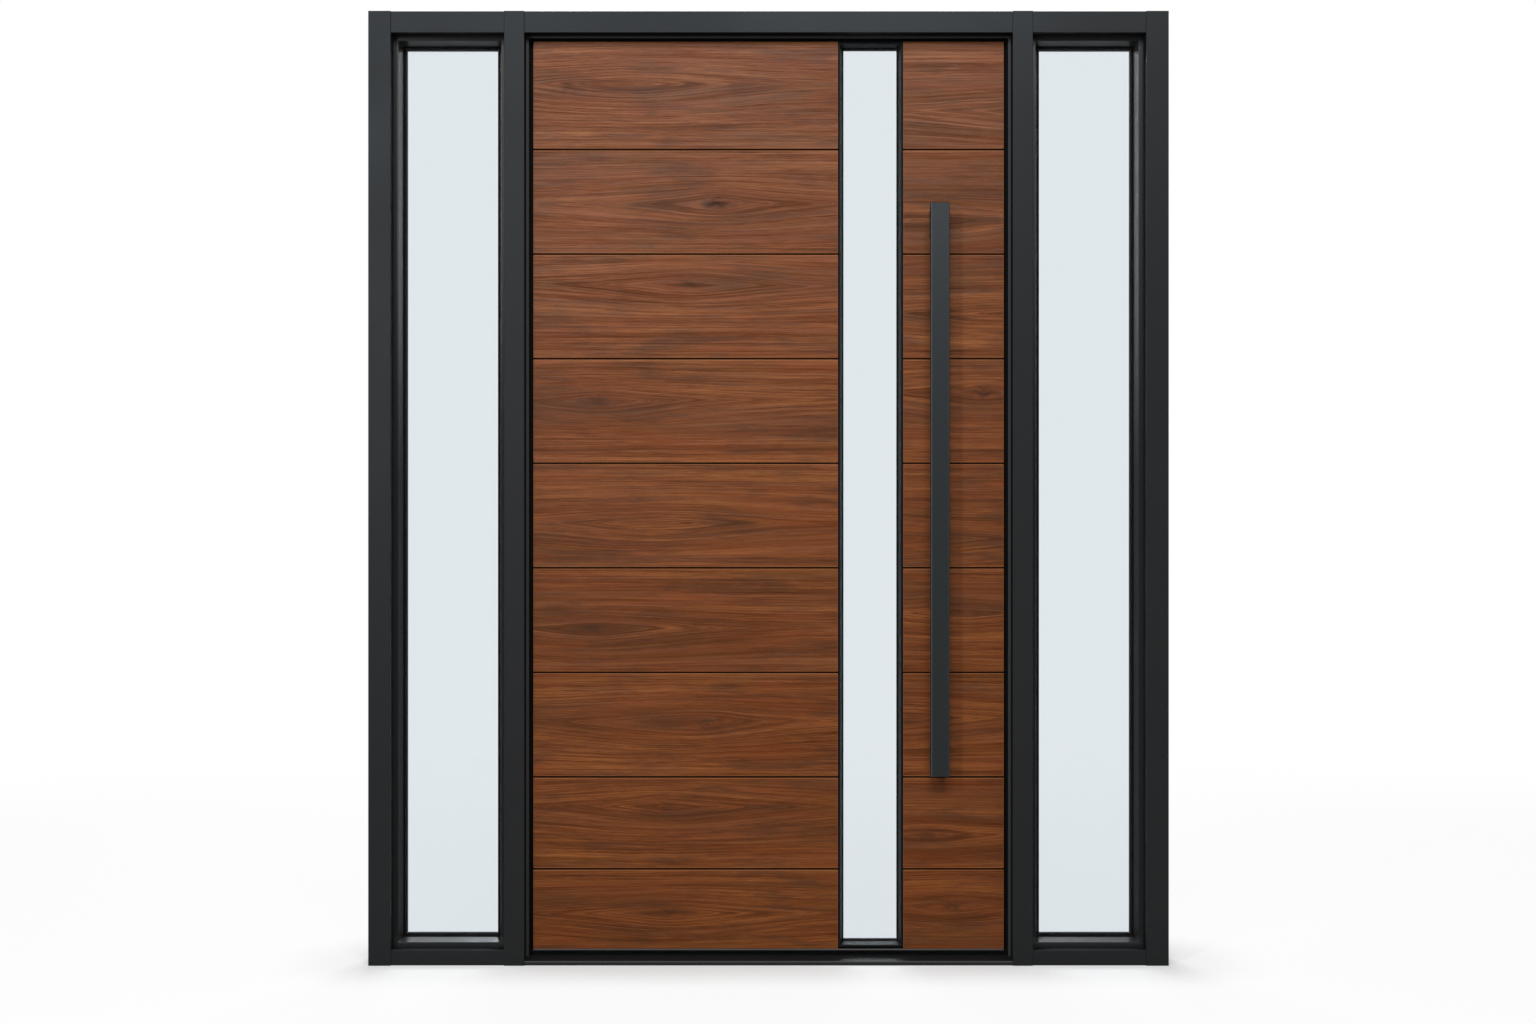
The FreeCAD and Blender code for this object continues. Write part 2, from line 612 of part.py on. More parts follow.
def vision_strip():
    """Full-height double glazing in the leaf between two sloped frames."""
    opening = (VISION_LEFT, VISION_RIGHT, VISION_LOW, VISION_HIGH)
    bead_back = BOARD_FRONT + VISION_BEAD_DEPTH
    cavity_front = LEAF_MIDDLE - VISION_CAVITY / 2
    cavity_back = LEAF_MIDDLE + VISION_CAVITY / 2
    glass_front = cavity_front - PANE
    gasket_tip = VISION_REACH + VISION_LIP
    frame = mitred_ring(
        [(0, BOARD_FRONT), (VISION_RIM, BOARD_FRONT, EDGE_RADIUS), (VISION_REACH, bead_back),
         (0, bead_back)], *opening)
    gaskets = mitred_ring(
        [(gasket_tip - GASKET_WIDTH, bead_back), (VISION_REACH, bead_back),
         (gasket_tip, glass_front), (gasket_tip - GASKET_WIDTH, glass_front)], *opening)
    edge_seal = mitred_ring(
        rectangle(GLASS_EDGE_GAP + SPACER_INSET, VISION_SEAL_REACH, cavity_front, cavity_back),
        *opening)
    left, right, low, high = opening
    panes = [block(left + GLASS_EDGE_GAP, right - GLASS_EDGE_GAP, front, front + PANE,
                   low + GLASS_EDGE_GAP, high - GLASS_EDGE_GAP)
             for front in (glass_front, cavity_back)]
    write("vision_frame_front", frame)
    write("vision_frame_back", [to_inside(bar) for bar in frame])
    write("vision_gaskets", gaskets + [to_inside(bar) for bar in gaskets])
    write("vision_spacer", edge_seal)
    write("vision_glass", panes)


def edges_along(shape, axis):
    """A block's edges that run along one axis."""
    return [e for e in shape.Edges if e.tangentAt(e.FirstParameter).cross(axis).Length < 0.5]


def pull_bars():
    """Flat pull bars on two posts each, back to back on the leaf."""
    bar_back = BOARD_FRONT - PULL_CLEARANCE
    bar_front = bar_back - PULL_THICKNESS
    bar = block(PULL_CENTRE - PULL_WIDTH / 2, PULL_CENTRE + PULL_WIDTH / 2, bar_front, bar_back,
                PULL_BOTTOM, PULL_BOTTOM + PULL_LENGTH)
    bar = bar.makeFillet(PULL_RADIUS, edges_along(bar, Vector(0, 0, 1)))
    ends = [e for e in bar.Edges if e.BoundBox.ZLength < PULL_END_CHAMFER]
    bar = bar.makeChamfer(PULL_END_CHAMFER, ends)
    posts = []
    for low in (PULL_BOTTOM + POST_INSET, PULL_BOTTOM + PULL_LENGTH - POST_INSET - POST_HEIGHT):
        post = block(PULL_CENTRE - POST_WIDTH / 2, PULL_CENTRE + POST_WIDTH / 2,
                     bar_back, BOARD_FRONT, low, low + POST_HEIGHT)
        posts.append(post.makeFillet(POST_RADIUS, edges_along(post, Vector(0, 1, 0))))
    write("pull_bar_front", [bar])
    write("pull_bar_back", [to_inside(bar)])
    write("pull_posts", posts + [to_inside(post) for post in posts])


def hinges():
    """Barrel hinges: two knuckles and the pin on the frame, the middle knuckle on the leaf."""
    first = LEAF_BOTTOM + HINGE_INSET
    step = (LEAF_TOP - HINGE_INSET - first) / (HINGE_COUNT - 1)
    frame_side, leaf_side = [], []
    for number in range(HINGE_COUNT):
        middle = first + number * step
        low, high = middle - HINGE_HEIGHT / 2, middle + HINGE_HEIGHT / 2
        inner_low, inner_high = middle - HINGE_MIDDLE / 2, middle + HINGE_MIDDLE / 2
        axis = (Vector(AXIS_X, AXIS_Y, low), Vector(0, 0, 1))
        wing_left = AXIS_X - HINGE_WING
        notch = AXIS_X - KNUCKLE_RADIUS - KNUCKLE_CLEARANCE
        side = block(wing_left, notch, INNER, INNER + HINGE_PLATE, low, high)
        side = side.fuse(Part.makeCylinder(PIN_RADIUS, HINGE_HEIGHT, *axis))
        for bottom, top, end in ((low, inner_low - HINGE_PLAY, low),
                                 (inner_high + HINGE_PLAY, high, high)):
            knuckle = Part.makeCylinder(KNUCKLE_RADIUS, top - bottom,
                                        Vector(AXIS_X, AXIS_Y, bottom))
            rim = [e for e in knuckle.Edges if abs(e.CenterOfMass.z - end) < KNUCKLE_CHAMFER]
            side = side.fuse(knuckle.makeChamfer(KNUCKLE_CHAMFER, rim))
            side = side.fuse(block(notch, AXIS_X, INNER, INNER + HINGE_PLATE, bottom, top))
        frame_side.append(side.removeSplitter().Solids[0])

        plate_left = -LEAF_EDGE + HINGE_EDGE_INSET
        arm = block(plate_left, plate_left + HINGE_ARM, LEAF_BACK, AXIS_Y,
                    inner_low, inner_high)
        plate = block(plate_left, -BOARD_EDGE - HINGE_BOARD_GAP, LEAF_BACK,
                      LEAF_BACK + HINGE_PLATE, low, high)
        knuckle = Part.makeCylinder(KNUCKLE_RADIUS, HINGE_MIDDLE,
                                    Vector(AXIS_X, AXIS_Y, inner_low))
        bore = Part.makeCylinder(PIN_RADIUS + PIN_PLAY, HINGE_HEIGHT, *axis)
        leaf_side.append(plate.fuse(arm).fuse(knuckle).cut(bore).removeSplitter().Solids[0])
    write("hinge_frame_sides", frame_side)
    write("hinge_leaf_sides", leaf_side)


def door_sweep():
    """Rubber fins under the leaf."""
    front = LEAF_MIDDLE - SWEEP_DEPTH / 2
    pitch = (SWEEP_DEPTH - FIN) / 2
    base = LEAF_BOTTOM - SWEEP_BASE
    tip = LEAF_BOTTOM - SWEEP_HEIGHT
    corners = [(front, LEAF_BOTTOM)]
    for number in range(3):
        start = front + number * pitch
        corners += [(start, base), (start, tip), (start + FIN, tip), (start + FIN, base)]
    corners = [corners[0]] + corners[2:-1] + [(front + SWEEP_DEPTH, LEAF_BOTTOM)]
    write("door_sweep", [level(corners, -STILE_EDGE, STILE_EDGE)])


os.makedirs("parts", exist_ok=True)
frame_uprights()
frame_rails()
door_head()
threshold()
thermal_breaks()
sidelights()
door_seals()
lock_pieces()
leaf_frame()
leaf_core()
boards()
vision_strip()
pull_bars()
hinges()
door_sweep()
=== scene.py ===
import math

import bmesh
import bpy
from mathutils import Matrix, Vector


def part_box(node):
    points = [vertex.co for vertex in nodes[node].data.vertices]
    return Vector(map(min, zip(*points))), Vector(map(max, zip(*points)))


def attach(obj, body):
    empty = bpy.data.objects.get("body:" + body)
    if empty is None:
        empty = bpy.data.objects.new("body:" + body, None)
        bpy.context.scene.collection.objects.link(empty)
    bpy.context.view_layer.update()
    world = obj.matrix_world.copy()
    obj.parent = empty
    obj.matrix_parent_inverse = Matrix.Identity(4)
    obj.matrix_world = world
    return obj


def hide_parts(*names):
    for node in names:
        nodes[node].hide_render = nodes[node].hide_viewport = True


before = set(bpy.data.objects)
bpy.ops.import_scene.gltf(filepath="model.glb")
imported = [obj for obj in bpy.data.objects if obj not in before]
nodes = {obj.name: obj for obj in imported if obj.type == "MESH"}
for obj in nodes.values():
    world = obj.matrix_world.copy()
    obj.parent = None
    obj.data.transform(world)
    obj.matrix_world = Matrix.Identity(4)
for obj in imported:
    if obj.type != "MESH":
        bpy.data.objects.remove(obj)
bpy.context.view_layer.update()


# Graphite profiles.
# Extruded aluminium with a satin powder coat: jambs, mullions, heads, sills, inside beads and hinges.
# The coat has a very fine orange peel and is a little duller where dust settles. The sides of the
# openings are painted near-black as shade from just behind the face to the beads and the stop, and
# the faces of the stops are painted lighter as light.

class Value:
    """A shader socket whose sums and products add their own Math nodes."""

    def __init__(self, finish, out):
        self.finish = finish
        self.out = out

    def maths(self, operation, *others):
        return self.finish.add("ShaderNodeMath", {"operation": operation}, *((self,) + others))

    def __add__(self, other):
        return self.maths("ADD", other)

    __radd__ = __add__

    def __mul__(self, other):
        return self.maths("MULTIPLY", other)

    __rmul__ = __mul__

    def __sub__(self, other):
        return self.maths("SUBTRACT", other)

    def __rsub__(self, other):
        return self.finish.add("ShaderNodeMath", {"operation": "SUBTRACT"}, other, self)

    def __truediv__(self, other):
        return self.maths("DIVIDE", other)

    def __pow__(self, other):
        return self.maths("POWER", other)

    def step(self, edge):
        """1 above the edge, else 0."""
        return self.maths("GREATER_THAN", edge)

    def fading(self):
        """1 where this is 0, falling smoothly towards 0 as it grows."""
        return (0.0 - self).maths("EXPONENT")

    def ramp(self, low, high, out_low=0.0, out_high=1.0):
        """Rises smoothly from one value to another as this one goes from low to high."""
        return self.finish.add("ShaderNodeMapRange", {"interpolation_type": "SMOOTHSTEP"},
                               self, low, high, out_low, out_high)


class Finish:
    """One procedural material."""

    def __init__(self, name, color, roughness, **constants):
        self.material = bpy.data.materials.new(name)
        self.material.use_nodes = True
        self.tree = self.material.node_tree
        self.surface = self.tree.nodes["Principled BSDF"]
        self.set("Base Color", (*color, 1.0))
        self.set("Roughness", roughness)
        for socket, value in constants.items():
            self.set(socket.replace("_", " "), value)

    def put(self, socket, value):
        """Links a value to a socket, or writes a number or colour on it."""
        if isinstance(value, Value):
            self.tree.links.new(value.out, socket)
        else:
            socket.default_value = value

    def set(self, socket, value):
        self.put(self.surface.inputs[socket], value)

    def show(self, shader):
        """Lets this shader stand for the whole surface."""
        self.put(self.tree.nodes["Material Output"].inputs["Surface"], shader)

    def add(self, kind, settings, *inputs, output=0, **named):
        """Any node: its settings first, then its sockets in order or by name."""
        node = self.tree.nodes.new(kind)
        for key, value in settings.items():
            if key == "stops":
                stops = node.color_ramp.elements
                while len(stops) < len(value):
                    stops.new(0.5)
                for stop, (place, color) in zip(stops, value):
                    stop.position, stop.color = place, (*color, 1.0)
            else:
                setattr(node, key, value)
        for socket, value in zip(node.inputs, inputs):
            if value is not None:
                self.put(socket, value)
        for socket, value in named.items():
            self.put(node.inputs[socket.replace("_", " ")], value)
        return Value(self, node.outputs[output])

    def place(self):
        """The point on the object, in metres."""
        return self.add("ShaderNodeTexCoord", {}, output=3)

    def split(self, vector):
        """The three numbers of a vector."""
        parts = self.add("ShaderNodeSeparateXYZ", {}, vector)
        return [Value(self, parts.out.node.outputs[i]) for i in range(3)]

    def stretched(self, vector, scale):
        return self.add("ShaderNodeMapping", {}, vector, Scale=scale)

    def noise(self, vector, scale, detail=2.0, roughness=0.5):
        return self.add("ShaderNodeTexNoise", {}, Vector=vector, Scale=scale, Detail=detail,
                        Roughness=roughness)

    def mix(self, factor, first, second):
        """Goes from the first colour to the second as the factor goes from 0 to 1."""
        first, second = (c if isinstance(c, Value) else (*c, 1.0) for c in (first, second))
        return self.add("ShaderNodeMix", {"data_type": "RGBA"}, factor, *[None] * 5, first, second,
                        output=2)

    def bump(self, height, distance, strength=1.0):
        normal = self.add("ShaderNodeBump", {}, Strength=strength, Distance=distance,
                          Height=height)
        self.set("Normal", normal)


PEEL_SCALE = 900.0
PEEL_DEPTH = 0.00004


def orange_peel(finish, depth=PEEL_DEPTH, strength=0.5):
    """The fine dimples of a sprayed coat."""
    finish.bump(finish.noise(finish.place(), PEEL_SCALE), depth, strength)


def coat(names, finish):
    """Gives the named pieces one finish."""
    for name in names:
        mesh = nodes[name].data
        mesh.materials.clear()
        mesh.materials.append(finish.material)


GRAPHITE = (0.0136, 0.0138, 0.0138)
GRAPHITE_ROUGHNESS = (0.35, 0.45)
COOL_SHINE = (0.77, 0.89, 1.0, 1.0)
DUST_SCALE = 3.0
DUST_DETAIL = 3.0
NOISE_SPAN = (0.3, 0.7)
SHADE_BLACK = (0.0018, 0.0018, 0.0018)
SHADE_START = 0.0060
SHADE_DULL = 0.5
STOP_PAINTED_LIGHT = (0.0330, 0.0330, 0.0335)
FACE_PLAY = 0.0007

graphite = Finish("graphite_coat", GRAPHITE, GRAPHITE_ROUGHNESS[1], Specular_IOR_Level=0.097,
                  Specular_Tint=COOL_SHINE)
orange_peel(graphite)

frame_low, frame_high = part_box("jamb_right")
bead_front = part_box("outside_beads_left")[0].y
side, deep, up = graphite.split(graphite.place())
# Painted shade: the sides of the openings behind the face are coloured near-black, where shade falls.
painted_shade = (deep.step(frame_low.y + SHADE_START) * (1.0 - deep.step(bead_front - FACE_PLAY))
         * (1.0 - side.maths("ABSOLUTE").step(frame_high.x - SHADE_START))
         * (1.0 - up.step(frame_high.z - SHADE_START)))
# Painted light: faces at the depth of the stops are coloured lighter, where the head and mullions shade
# them.
stop_painted_light = 1.0 - (deep - bead_front).maths("ABSOLUTE").step(FACE_PLAY)
shade = graphite.mix(painted_shade, GRAPHITE, SHADE_BLACK)
graphite.set("Base Color", graphite.mix(stop_painted_light, shade, STOP_PAINTED_LIGHT))
dust = graphite.noise(graphite.place(), DUST_SCALE, DUST_DETAIL)
graphite.set("Roughness", dust.ramp(*NOISE_SPAN, *GRAPHITE_ROUGHNESS) + painted_shade * SHADE_DULL)

coat(["jamb_left", "jamb_right", "mullion_left", "mullion_right", "head_left", "head_door",
      "head_right", "sill_left", "sill_right", "inside_beads_left", "inside_beads_right",
      "hinge_frame_sides", "hinge_leaf_sides"], graphite)


# Outside glazing beads.
# Mitred bars in the frame's colour under a smoother lacquer, which mirrors the bright panes beside it.
# The lacquer is thickest on the sill bars and on the upper part of the uprights, and dull on the top bars.

BEAD = (0.0150, 0.0155, 0.0160)
BEAD_REACH = 0.026
SILL_BAR_SHARE = 0.85
TOP_BAR_SHARE = 0.35
UPRIGHT_SHARE = 1.0
DULL_BELOW = (1.25, 2.05)
LACQUER_PEEL = 0.00003

lacquer = Finish("bead_lacquer", BEAD, 0.45, Specular_IOR_Level=0.03, Coat_Roughness=0.22,
                 Coat_IOR=1.28)
_, _, up = lacquer.split(lacquer.place())
bead_low, bead_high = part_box("outside_beads_left")
in_top_bar = up.step(bead_high.z - BEAD_REACH)
in_sill_bar = 1.0 - up.step(bead_low.z + BEAD_REACH)
in_upright = up.ramp(*DULL_BELOW, 0.0, UPRIGHT_SHARE) * (1.0 - in_top_bar)
lacquer.set("Coat Weight", in_upright + in_top_bar * TOP_BAR_SHARE + in_sill_bar * SILL_BAR_SHARE)
orange_peel(lacquer, LACQUER_PEEL, 0.4)
coat(["outside_beads_left", "outside_beads_right"], lacquer)


# Frames of the glass strip.
# Slim mitred frames round the strip on both faces of the leaf, a shade darker than the door frame.
# Only their slopes towards the glass catch the light.

RIM = (0.0050, 0.0051, 0.0051)

rim_coat = Finish("rim_coat", RIM, 0.52, Specular_IOR_Level=0.085, Specular_Tint=COOL_SHINE)
orange_peel(rim_coat)
coat(["vision_frame_front", "vision_frame_back"], rim_coat)


# Threshold.
# Ramped aluminium in the frame's colour, a shade lighter on its front face, with a painted highlight along
# its top edge and painted black as shade under the leaf.
# The leaf's sweep runs over the black part.

RAMP = (0.0085, 0.0087, 0.0088)
NOSE = (0.0200, 0.0204, 0.0206)
EDGE_HIGHLIGHT = (0.0600, 0.0610, 0.0620)
NOSE_DEPTH = 0.0030
NOSE_HEIGHT = 0.0110
EDGE_HIGHLIGHT_HEIGHT = 0.0025
LEAF_OVERLAP = 0.0080
RAMP_ROUGHNESS = 0.5
UNDER_LEAF_DULL = 0.45

threshold_coat = Finish("threshold_coat", RAMP, RAMP_ROUGHNESS, Specular_IOR_Level=0.06,
                        Specular_Tint=COOL_SHINE)
orange_peel(threshold_coat)
_, deep, up = threshold_coat.split(threshold_coat.place())
threshold_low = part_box("threshold")[0]
board_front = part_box("boards_front_wide")[0].y
at_nose = 1.0 - deep.step(threshold_low.y + NOSE_DEPTH)
# Painted highlight: a lighter colour along the top edge of the front face.
painted_highlight = at_nose * up.step(threshold_low.z + NOSE_HEIGHT - EDGE_HIGHLIGHT_HEIGHT)
# Painted shade: the part under the leaf is coloured near-black.
shade_under_leaf = deep.step(board_front - LEAF_OVERLAP)
shade = threshold_coat.mix(at_nose, RAMP, NOSE)
shade = threshold_coat.mix(painted_highlight, shade, EDGE_HIGHLIGHT)
threshold_coat.set("Base Color", threshold_coat.mix(shade_under_leaf, shade, SHADE_BLACK))
threshold_coat.set("Roughness", shade_under_leaf * UNDER_LEAF_DULL + RAMP_ROUGHNESS)
coat(["threshold"], threshold_coat)


# Plastic strips, seals and spacers.
# Black polyamide bars join the profile halves; the gaskets and the sweep are black rubber.
# They are pressed into grooves and never painted.

BLACK_RUBBER = (0.0035, 0.0032, 0.0030)
BLACK_POLYAMIDE = (0.006, 0.006, 0.006)
RUBBER_GRAIN = 700.0
RUBBER_DETAIL = 3.0
RUBBER_DEPTH = 0.0001
DIE_LINES = 900.0
DIE_LINE_DEPTH = 0.0001


def drawn_lines(finish, stretch, rate=DIE_LINES):
    """Fine lines left along a bar by its die or its brush."""
    return finish.noise(finish.stretched(finish.place(), stretch), rate)


rubber = Finish("black_rubber", BLACK_RUBBER, 0.7, Specular_IOR_Level=0.03)
rubber.bump(rubber.noise(rubber.place(), RUBBER_GRAIN, RUBBER_DETAIL), RUBBER_DEPTH, 0.6)
strip = Finish("black_polyamide", BLACK_POLYAMIDE, 0.6, Specular_IOR_Level=0.05)
strip.bump(drawn_lines(strip, (1.0, 1.0, 0.05)), DIE_LINE_DEPTH, 0.5)
coat(["glazing_gaskets", "vision_gaskets", "door_seals", "door_sweep", "setting_blocks"], rubber)
coat(["thermal_breaks", "leaf_thermal_breaks", "glass_spacers", "vision_spacer"], strip)


# Leaf's edge frame.
# Slim aluminium stiles and rails round the leaf, coloured near-black as painted shade so that the rebate
# reads as a shadow.
# The boards stop short of their edge all round.

EDGE_SHADE_BLACK = (0.0035, 0.0033, 0.0032)
UPRIGHT_LINES = (1.0, 1.0, 0.02)
METAL_LINE_DEPTH = 0.00003

edge_coat = Finish("edge_painted_shade", EDGE_SHADE_BLACK, 0.6, Specular_IOR_Level=0.03)
edge_coat.bump(drawn_lines(edge_coat, UPRIGHT_LINES), METAL_LINE_DEPTH, 0.5)
coat(["leaf_stile_hinge", "leaf_stile_lock", "leaf_rail_top", "leaf_rail_bottom",
      "vision_post_left", "vision_post_right"], edge_coat)


# Trims under the boards.
# Thin bars of plain aluminium under the lowest boards, flush with their faces.
# They throw the rain clear of the sweep and read as a light line above the threshold.

PLAIN_ALUMINIUM = (0.082, 0.082, 0.084)
LEVEL_LINES = (0.02, 1.0, 1.0)

plain = Finish("plain_aluminium", PLAIN_ALUMINIUM, 0.45, Specular_IOR_Level=0.15)
plain.bump(drawn_lines(plain, LEVEL_LINES), METAL_LINE_DEPTH, 0.5)
coat(["board_trims"], plain)


# Foam cores.
# Panels of pale rigid foam that fill the leaf between its two layers of boards.
# They are glued in and closed in on all sides.

FOAM = (0.6, 0.59, 0.55)
FOAM_CELLS = 400.0
FOAM_DETAIL = 3.0
FOAM_DEPTH = 0.0004

foam = Finish("foam_panel", FOAM, 0.8)
foam.bump(foam.noise(foam.place(), FOAM_CELLS, FOAM_DETAIL), FOAM_DEPTH, 0.6)
coat(["core_wide", "core_narrow"], foam)


# Glass.
# Two clear panes with a faint grey-blue tint in each sealed unit.
# The panes let light straight through and only shine a little.

CLEAR_GLASS = (0.86, 0.90, 0.93)
PANE_TINT = (0.9300, 0.9465, 0.9565, 1.0)
PANE_SHINE = (1.0, 1.0, 1.0, 1.0)

clear = Finish("clear_glass", CLEAR_GLASS, 0.0, IOR=1.5, Transmission_Weight=1.0)
through = clear.add("ShaderNodeBsdfTransparent", {}, PANE_TINT)
gloss = clear.add("ShaderNodeBsdfGlossy", {}, PANE_SHINE, Roughness=0.02)
fresnel = clear.add("ShaderNodeFresnel", {}, IOR=1.2)
clear.show(clear.add("ShaderNodeMixShader", {}, fresnel, through, gloss))
coat(["glass_left", "glass_right", "vision_glass"], clear)


# Walnut boards.
# Nine tongued boards above each other on each side of the glass strip, oiled, with the grain running level.
# Each board is cut near the heart of its log, so its lines close into long lenses, often round a dark knot.

BOARD_ARRIS = 0.0004
LEAF_MIDDLE = sum(corner.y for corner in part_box("core_wide")) / 2
TONE_STEP = 0.61803

# One pair a board from the top: the middle of its lens, then the middle of its knot, both along the
# leaf and above the board's middle in metres, and the knot's strength from 0 to 1.
WIDE_FIGURES = [
    ((-0.36, 0.030), (-0.541, 0.020, 0.40)), ((-0.141, -0.004), (-0.141, -0.004, 0.95)),
    ((-0.208, 0.060), (-0.208, 0.060, 0.50)), ((-0.46, 0.030), (-0.460, 0.030, 0.50)),
    ((-0.30, -0.020), (-0.350, 0.040, 0.25)), ((-0.47, -0.020), (-0.475, -0.018, 0.45)),
    ((-0.25, 0.010), (-0.155, 0.005, 0.65)), ((-0.28, 0.045), (-0.280, 0.045, 0.40)),
    ((-0.26, -0.010), (-0.260, -0.010, 0.45))]
NARROW_FIGURES = [
    ((0.75, -0.040), (0.900, 0.000, 0.0)), ((0.40, -0.050), (0.400, -0.050, 0.3)),
    ((0.62, -0.020), (0.900, 0.000, 0.0)), ((0.58, 0.050), (0.580, 0.050, 0.7)),
    ((0.25, -0.060), (0.900, 0.000, 0.0)), ((0.52, 0.020), (0.520, 0.020, 0.3)),
    ((0.30, 0.020), (0.900, 0.000, 0.0)), ((0.43, -0.030), (0.430, -0.030, 0.4)),
    ((0.50, 0.010), (0.500, 0.010, 0.5))]


def boards_of(bm):
    """The separate boards in a mesh, each a list of its vertices, from the top down."""
    left = set(bm.verts)
    found = []
    while left:
        board, edge = [], [left.pop()]
        while edge:
            vert = edge.pop()
            board.append(vert)
            for near in (e.other_vert(vert) for e in vert.link_edges):
                if near in left:
                    left.remove(near)
                    edge.append(near)
        found.append(board)
    return sorted(found, key=lambda b: -max(v.co.z for v in b))


def board_piece(node, figures, seed):
    """The node's boards with eased arrises, each with its own place in the log."""
    mesh = nodes[node].data.copy()
    bm = bmesh.new()
    bm.from_mesh(mesh)
    bmesh.ops.remove_doubles(bm, verts=bm.verts, dist=1e-6)
    bmesh.ops.dissolve_limit(bm, angle_limit=math.radians(1), verts=bm.verts, edges=bm.edges)
    figure = bm.verts.layers.float_vector.new("figure")
    knot = bm.verts.layers.float_vector.new("knot")
    edges = bm.verts.layers.float_vector.new("edges")
    edge_top = bm.verts.layers.float_vector.new("edge_top")
    for number, (board, (centre, eye)) in enumerate(zip(boards_of(bm), figures)):
        outside = max((v.co.y for v in board), key=lambda y: abs(y - LEAF_MIDDLE))
        face = [v.co for v in board if abs(v.co.y - outside) < BOARD_ARRIS / 2]
        low = Vector(min(co[i] for co in face) for i in range(3))
        high = Vector(max(co[i] for co in face) for i in range(3))
        middle = (low.z + high.z) / 2
        tone = (seed + number) * TONE_STEP % 1.0
        for vert in board:
            x, z = vert.co.x, vert.co.z - middle
            vert[figure] = (x - centre[0], z - centre[1], tone)
            vert[knot] = (x - eye[0], z - eye[1], eye[2])
            vert[edges] = (x - low.x, high.x - x, vert.co.z - low.z)
            vert[edge_top] = (high.z - vert.co.z, abs(vert.co.y - outside), 0.0)
    bm.to_mesh(mesh)
    bm.free()
    piece = bpy.data.objects.new(node + "_wood", mesh)
    bpy.context.scene.collection.objects.link(piece)
    arris = piece.modifiers.new("arris", "BEVEL")
    arris.width = BOARD_ARRIS
    arris.segments = 2
    arris.limit_method = "ANGLE"
    mesh.materials.clear()
    mesh.materials.append(walnut.material)
    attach(piece, "leaf")
    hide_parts(node)


# Lengths of the figure, in metres.
LENS_RISE = 0.040
LENS_REACH = 0.30
LENS_FADE = 0.075
HEART_ROUNDING = 0.003
HEART_REACH = 0.034
DRIFT = 0.014
RIPPLE = 0.0036
CLOUD_RIPPLE = 0.03
KNOT_SWIRL = (0.085, 0.028)
KNOT_HALO = (0.076, 0.024)
KNOT_EYE = (0.033, 0.0105)
EYE_WANDER = 0.045
ARRIS_WIDTH = (0.0002, 0.0022)
JOINT_DEPTH = (0.0008, 0.0030)
PORE_DEPTH = 0.0003

# How much a knot draws the lines in, how much a lens leans, and how far apart in the log the boards lie.
KNOT_PULL = 0.75
LENS_LEAN = 0.2
LOG_SPREAD = 37.0

# How often each layer of the figure comes, in cycles a metre along and across the board.
DRIFT_RATE = (1.3, 4.0)
RIPPLE_RATE = (9.0, 22.0)
WANDER_RATE = (30.0, 48.0)
SMUDGE_RATE = (26.0, 90.0)
BAND_RATE = (0.9, 60.0)
CLOUD_RATE = (4.6, 24.0)
LINE_RATE = (2.6, 300.0)
FIBRE_RATE = (17.0, 760.0)
PORE_RATE = (60.0, 1900.0)
HAIRLINE_RATE = (1.3, 64.0)
HAIRLINE_BREAKS = (3.2, 34.0)
CHEVRON_RATE = (0.5, 130.0)
CHEVRON_BREAKS = (5.0, 16.0)
RED_RATE = (2.4, 12.0)
OLIVE_RATE = (3.1, 17.0)
DARK_RATE = (0.8, 13.0)

# Noise levels between which a layer goes from hidden to full.
HALO_SPAN = (0.34, 0.62)
EYE_SPAN = (0.25, 0.50)
CLOUD_SPAN = (0.47, 0.70)
PORE_SPAN = (0.60, 0.72)
HAIRLINE_SPAN = (0.42, 0.60)
HAIRLINE_SHARPNESS = 13.0
CHEVRON_SPAN = (0.46, 0.60)
BREAKS_SPAN = (0.32, 0.52)
RED_SPAN = (0.40, 0.64)
OLIVE_SPAN = (0.50, 0.70)
DARK_SPAN = (0.46, 0.66)

# Colours of the figure, from the darkest line to the lightest streak, of its stains and knots,
# of the painted highlight on the arrises and of the painted shade deep in the joints.
FIGURE_COLORS = [(0.36, (0.051, 0.0135, 0.0030)), (0.45, (0.104, 0.0270, 0.0042)),
                 (0.50, (0.139, 0.0364, 0.0052)), (0.55, (0.180, 0.0504, 0.0071)),
                 (0.64, (0.254, 0.0800, 0.0125))]
HAIRLINE = (0.040, 0.0110, 0.0030)
HEART_STAIN = (0.055, 0.0172, 0.0046)
DARK_BAND = (0.080, 0.0235, 0.0050)
RED_TINT = (0.168, 0.0362, 0.0055)
OLIVE_TINT = (0.125, 0.0430, 0.0060)
KNOT_BROWN = (0.046, 0.0200, 0.0090)
KNOT_BLACK = (0.024, 0.0135, 0.0090)
WOOD_ARRIS_HIGHLIGHT = (0.300, 0.1150, 0.0400)
JOINT_SHADE = (0.0080, 0.0018, 0.0004)

# Shares of the bands, lines and fibres in the figure, of the painted highlight on an arris and of a pore.
BAND_SHARE = 0.24
LINE_SHARE = 0.42
FIBRE_SHARE = 0.34
WOOD_HIGHLIGHT_SHARE = 0.45
PORE_SHARE = 0.35

walnut = Finish("oiled_walnut", FIGURE_COLORS[2][1], 0.6, Specular_IOR_Level=0.05,
                Coat_Roughness=0.44, Coat_IOR=1.30)


def attribute(name):
    """The three numbers that a board's points carry under a name."""
    return walnut.split(walnut.add("ShaderNodeAttribute", {"attribute_name": name}, output=1))


def grain(rate, across, detail, roughness=0.5):
    """Noise drawn out along the board."""
    place = walnut.add("ShaderNodeCombineXYZ", {}, along * rate[0], across * rate[1], log)
    return walnut.noise(place, 1.0, detail, roughness)


